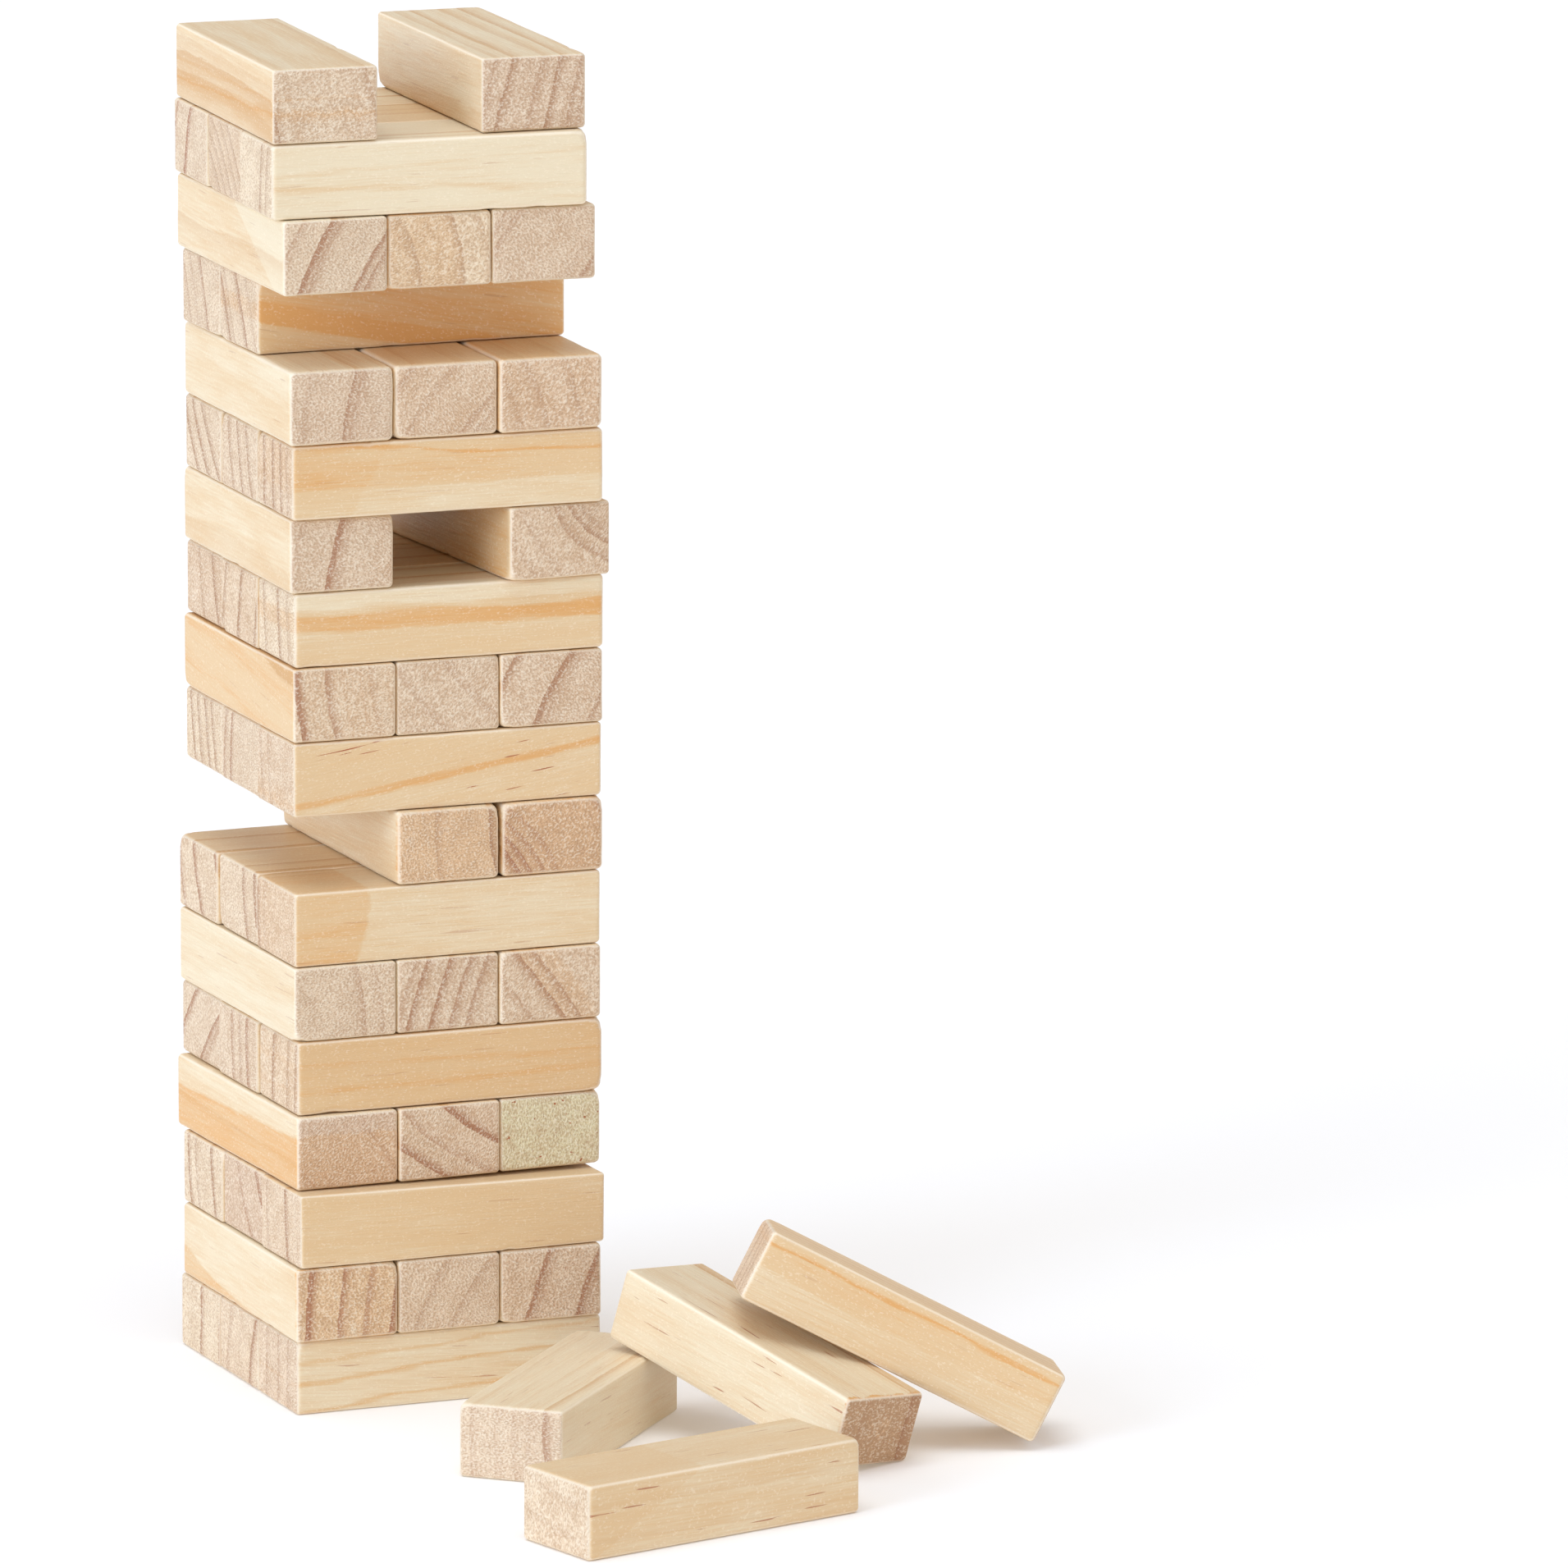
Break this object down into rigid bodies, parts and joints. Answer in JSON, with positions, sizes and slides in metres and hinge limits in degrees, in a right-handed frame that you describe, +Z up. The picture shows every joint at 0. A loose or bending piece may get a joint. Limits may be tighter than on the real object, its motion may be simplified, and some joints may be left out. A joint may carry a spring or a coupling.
{
  "type": "stacking block tower",
  "caption": "Tabletop tumbling tower of bare pine blocks laid crosswise in layers, partly played, with the drawn blocks lying beside its foot.",
  "frame": {"origin": "centre of the tower's underside, on the table, under the middle block of the bottom layer", "axes": "+Z up the tower; +X along the wide front face, to the right; +Y from the front face to the back"},
  "size_m": [0.1288, 0.1835, 0.2483],
  "materials": {
    "pine": "bare sawn pine, sanded smooth, edges eased"
  },
  "bodies": {
    "tower_base": {"layer_01_front_block": "pine", "layer_01_middle_block": "pine", "layer_01_back_block": "pine"},
    "layer_02_left_block": {"layer_02_left_block": "pine"},
    "layer_02_middle_block": {"layer_02_middle_block": "pine"},
    "layer_02_right_block": {"layer_02_right_block": "pine"},
    "layer_03_front_block": {"layer_03_front_block": "pine"},
    "layer_03_middle_block": {"layer_03_middle_block": "pine"},
    "layer_03_back_block": {"layer_03_back_block": "pine"},
    "layer_04_left_block": {"layer_04_left_block": "pine"},
    "layer_04_middle_block": {"layer_04_middle_block": "pine"},
    "layer_04_right_block": {"layer_04_right_block": "pine"},
    "layer_05_front_block": {"layer_05_front_block": "pine"},
    "layer_05_middle_block": {"layer_05_middle_block": "pine"},
    "layer_05_back_block": {"layer_05_back_block": "pine"},
    "layer_06_left_block": {"layer_06_left_block": "pine"},
    "layer_06_middle_block": {"layer_06_middle_block": "pine"},
    "layer_06_right_block": {"layer_06_right_block": "pine"},
    "layer_07_front_block": {"layer_07_front_block": "pine"},
    "layer_07_middle_block": {"layer_07_middle_block": "pine"},
    "layer_07_back_block": {"layer_07_back_block": "pine"},
    "layer_08_middle_block": {"layer_08_middle_block": "pine"},
    "layer_08_right_block": {"layer_08_right_block": "pine"},
    "layer_09_front_block": {"layer_09_front_block": "pine"},
    "layer_09_middle_block": {"layer_09_middle_block": "pine"},
    "layer_09_back_block": {"layer_09_back_block": "pine"},
    "layer_10_left_block": {"layer_10_left_block": "pine"},
    "layer_10_middle_block": {"layer_10_middle_block": "pine"},
    "layer_10_right_block": {"layer_10_right_block": "pine"},
    "layer_11_front_block": {"layer_11_front_block": "pine"},
    "layer_11_middle_block": {"layer_11_middle_block": "pine"},
    "layer_11_back_block": {"layer_11_back_block": "pine"},
    "layer_12_left_block": {"layer_12_left_block": "pine"},
    "layer_12_right_block": {"layer_12_right_block": "pine"},
    "layer_13_front_block": {"layer_13_front_block": "pine"},
    "layer_13_middle_block": {"layer_13_middle_block": "pine"},
    "layer_13_back_block": {"layer_13_back_block": "pine"},
    "layer_14_left_block": {"layer_14_left_block": "pine"},
    "layer_14_middle_block": {"layer_14_middle_block": "pine"},
    "layer_14_right_block": {"layer_14_right_block": "pine"},
    "layer_15_middle_block": {"layer_15_middle_block": "pine"},
    "layer_15_back_block": {"layer_15_back_block": "pine"},
    "layer_16_left_block": {"layer_16_left_block": "pine"},
    "layer_16_middle_block": {"layer_16_middle_block": "pine"},
    "layer_16_right_block": {"layer_16_right_block": "pine"},
    "layer_17_front_block": {"layer_17_front_block": "pine"},
    "layer_17_middle_block": {"layer_17_middle_block": "pine"},
    "layer_17_back_block": {"layer_17_back_block": "pine"},
    "layer_18_left_block": {"layer_18_left_block": "pine"},
    "layer_18_right_block": {"layer_18_right_block": "pine"},
    "loose_block_flat_front": {"loose_block_flat_front": "pine"},
    "loose_block_flat_back": {"loose_block_flat_back": "pine"},
    "loose_block_leaning_low": {"loose_block_leaning_low": "pine"},
    "loose_block_leaning_high": {"loose_block_leaning_high": "pine"}
  },
  "joints": [
    {"name": "layer_02_left_block_slide", "type": "slide", "parent": "tower_base", "child": "layer_02_left_block", "axis": [0.007, 1, 0], "range_m": [-0.065, 0.065]},
    {"name": "layer_02_middle_block_slide", "type": "slide", "parent": "tower_base", "child": "layer_02_middle_block", "axis": [0.007, 1, 0], "range_m": [-0.065, 0.065]},
    {"name": "layer_02_right_block_slide", "type": "slide", "parent": "tower_base", "child": "layer_02_right_block", "axis": [0.007, 1, 0], "range_m": [-0.02, 0.065]},
    {"name": "layer_03_front_block_slide", "type": "slide", "parent": "tower_base", "child": "layer_03_front_block", "axis": [1, 0.0035, 0], "range_m": [-0.065, 0.065]},
    {"name": "layer_03_middle_block_slide", "type": "slide", "parent": "tower_base", "child": "layer_03_middle_block", "axis": [1, 0.0035, 0], "range_m": [-0.065, 0.065]},
    {"name": "layer_03_back_block_slide", "type": "slide", "parent": "tower_base", "child": "layer_03_back_block", "axis": [1, 0.0035, 0], "range_m": [-0.065, 0.065]},
    {"name": "layer_04_left_block_slide", "type": "slide", "parent": "tower_base", "child": "layer_04_left_block", "axis": [-0.0157, 0.9999, 0], "range_m": [-0.065, 0.065]},
    {"name": "layer_04_middle_block_slide", "type": "slide", "parent": "tower_base", "child": "layer_04_middle_block", "axis": [-0.0157, 0.9999, 0], "range_m": [-0.065, 0.065]},
    {"name": "layer_04_right_block_slide", "type": "slide", "parent": "tower_base", "child": "layer_04_right_block", "axis": [-0.0157, 0.9999, 0], "range_m": [-0.065, 0.065]},
    {"name": "layer_05_front_block_slide", "type": "slide", "parent": "tower_base", "child": "layer_05_front_block", "axis": [1, -0.0035, 0], "range_m": [-0.065, 0.065]},
    {"name": "layer_05_middle_block_slide", "type": "slide", "parent": "tower_base", "child": "layer_05_middle_block", "axis": [1, -0.0035, 0], "range_m": [-0.065, 0.065]},
    {"name": "layer_05_back_block_slide", "type": "slide", "parent": "tower_base", "child": "layer_05_back_block", "axis": [1, -0.0035, 0], "range_m": [-0.065, 0.065]},
    {"name": "layer_06_left_block_slide", "type": "slide", "parent": "tower_base", "child": "layer_06_left_block", "axis": [0.0035, 1, 0], "range_m": [-0.065, 0.065]},
    {"name": "layer_06_middle_block_slide", "type": "slide", "parent": "tower_base", "child": "layer_06_middle_block", "axis": [0.0035, 1, 0], "range_m": [-0.065, 0.065]},
    {"name": "layer_06_right_block_slide", "type": "slide", "parent": "tower_base", "child": "layer_06_right_block", "axis": [0.0035, 1, 0], "range_m": [-0.065, 0.065]},
    {"name": "layer_07_front_block_slide", "type": "slide", "parent": "tower_base", "child": "layer_07_front_block", "axis": [1, -0.0052, 0], "range_m": [-0.065, 0.065]},
    {"name": "layer_07_middle_block_slide", "type": "slide", "parent": "tower_base", "child": "layer_07_middle_block", "axis": [1, -0.0052, 0], "range_m": [-0.065, 0.065]},
    {"name": "layer_07_back_block_slide", "type": "slide", "parent": "tower_base", "child": "layer_07_back_block", "axis": [1, -0.0052, 0], "range_m": [-0.065, 0.065]},
    {"name": "layer_08_middle_block_slide", "type": "slide", "parent": "tower_base", "child": "layer_08_middle_block", "axis": [0.007, 1, 0], "range_m": [-0.065, 0.065]},
    {"name": "layer_08_right_block_slide", "type": "slide", "parent": "tower_base", "child": "layer_08_right_block", "axis": [0.007, 1, 0], "range_m": [-0.065, 0.065]},
    {"name": "layer_09_front_block_slide", "type": "slide", "parent": "tower_base", "child": "layer_09_front_block", "axis": [0.9998, -0.0192, 0], "range_m": [-0.065, 0.065]},
    {"name": "layer_09_middle_block_slide", "type": "slide", "parent": "tower_base", "child": "layer_09_middle_block", "axis": [0.9998, -0.0192, 0], "range_m": [-0.065, 0.065]},
    {"name": "layer_09_back_block_slide", "type": "slide", "parent": "tower_base", "child": "layer_09_back_block", "axis": [0.9998, -0.0192, 0], "range_m": [-0.065, 0.065]},
    {"name": "layer_10_left_block_slide", "type": "slide", "parent": "tower_base", "child": "layer_10_left_block", "axis": [0.0209, 0.9998, 0], "range_m": [-0.065, 0.065]},
    {"name": "layer_10_middle_block_slide", "type": "slide", "parent": "tower_base", "child": "layer_10_middle_block", "axis": [0.0209, 0.9998, 0], "range_m": [-0.065, 0.065]},
    {"name": "layer_10_right_block_slide", "type": "slide", "parent": "tower_base", "child": "layer_10_right_block", "axis": [0.0209, 0.9998, 0], "range_m": [-0.065, 0.065]},
    {"name": "layer_11_front_block_slide", "type": "slide", "parent": "tower_base", "child": "layer_11_front_block", "axis": [0.9997, -0.0262, 0], "range_m": [-0.065, 0.065]},
    {"name": "layer_11_middle_block_slide", "type": "slide", "parent": "tower_base", "child": "layer_11_middle_block", "axis": [0.9997, -0.0262, 0], "range_m": [-0.065, 0.065]},
    {"name": "layer_11_back_block_slide", "type": "slide", "parent": "tower_base", "child": "layer_11_back_block", "axis": [0.9997, -0.0262, 0], "range_m": [-0.065, 0.065]},
    {"name": "layer_12_left_block_slide", "type": "slide", "parent": "tower_base", "child": "layer_12_left_block", "axis": [0.0332, 0.9995, 0], "range_m": [-0.065, 0.065]},
    {"name": "layer_12_right_block_slide", "type": "slide", "parent": "tower_base", "child": "layer_12_right_block", "axis": [-0.0419, 0.9991, 0], "range_m": [-0.065, 0.065]},
    {"name": "layer_13_front_block_slide", "type": "slide", "parent": "tower_base", "child": "layer_13_front_block", "axis": [0.9994, -0.0349, 0], "range_m": [-0.065, 0.065]},
    {"name": "layer_13_middle_block_slide", "type": "slide", "parent": "tower_base", "child": "layer_13_middle_block", "axis": [0.9994, -0.0349, 0], "range_m": [-0.065, 0.065]},
    {"name": "layer_13_back_block_slide", "type": "slide", "parent": "tower_base", "child": "layer_13_back_block", "axis": [0.9994, -0.0349, 0], "range_m": [-0.065, 0.065]},
    {"name": "layer_14_left_block_slide", "type": "slide", "parent": "tower_base", "child": "layer_14_left_block", "axis": [0.0349, 0.9994, 0], "range_m": [-0.065, 0.065]},
    {"name": "layer_14_middle_block_slide", "type": "slide", "parent": "tower_base", "child": "layer_14_middle_block", "axis": [0.0349, 0.9994, 0], "range_m": [-0.065, 0.065]},
    {"name": "layer_14_right_block_slide", "type": "slide", "parent": "tower_base", "child": "layer_14_right_block", "axis": [0.0349, 0.9994, 0], "range_m": [-0.065, 0.065]},
    {"name": "layer_15_middle_block_slide", "type": "slide", "parent": "tower_base", "child": "layer_15_middle_block", "axis": [0.9999, -0.0105, 0], "range_m": [-0.065, 0.065]},
    {"name": "layer_15_back_block_slide", "type": "slide", "parent": "tower_base", "child": "layer_15_back_block", "axis": [0.9999, -0.0105, 0], "range_m": [-0.065, 0.065]},
    {"name": "layer_16_left_block_slide", "type": "slide", "parent": "tower_base", "child": "layer_16_left_block", "axis": [0.0332, 0.9995, 0], "range_m": [-0.065, 0.065]},
    {"name": "layer_16_middle_block_slide", "type": "slide", "parent": "tower_base", "child": "layer_16_middle_block", "axis": [0.0332, 0.9995, 0], "range_m": [-0.065, 0.065]},
    {"name": "layer_16_right_block_slide", "type": "slide", "parent": "tower_base", "child": "layer_16_right_block", "axis": [0.0332, 0.9995, 0], "range_m": [-0.065, 0.065]},
    {"name": "layer_17_front_block_slide", "type": "slide", "parent": "tower_base", "child": "layer_17_front_block", "axis": [0.998, -0.0628, 0], "range_m": [-0.065, 0.065]},
    {"name": "layer_17_middle_block_slide", "type": "slide", "parent": "tower_base", "child": "layer_17_middle_block", "axis": [0.998, -0.0628, 0], "range_m": [-0.065, 0.065]},
    {"name": "layer_17_back_block_slide", "type": "slide", "parent": "tower_base", "child": "layer_17_back_block", "axis": [0.998, -0.0628, 0], "range_m": [-0.065, 0.065]},
    {"name": "layer_18_left_block_lift", "type": "slide", "parent": "tower_base", "child": "layer_18_left_block", "axis": [0, 0, 1], "range_m": [0, 0.06]},
    {"name": "layer_18_right_block_lift", "type": "slide", "parent": "tower_base", "child": "layer_18_right_block", "axis": [0, 0, 1], "range_m": [0, 0.06]},
    {"name": "loose_block_flat_front_lift", "type": "slide", "parent": "tower_base", "child": "loose_block_flat_front", "axis": [0, 0, 1], "range_m": [0, 0.06]},
    {"name": "loose_block_flat_back_lift", "type": "slide", "parent": "tower_base", "child": "loose_block_flat_back", "axis": [0, 0, 1], "range_m": [0, 0.06]},
    {"name": "loose_block_leaning_low_lift", "type": "slide", "parent": "loose_block_flat_back", "child": "loose_block_leaning_low", "axis": [0, 0, 1], "range_m": [0, 0.06]},
    {"name": "loose_block_leaning_high_lift", "type": "slide", "parent": "loose_block_leaning_low", "child": "loose_block_leaning_high", "axis": [0, 0, 1], "range_m": [0, 0.06]}
  ]
}
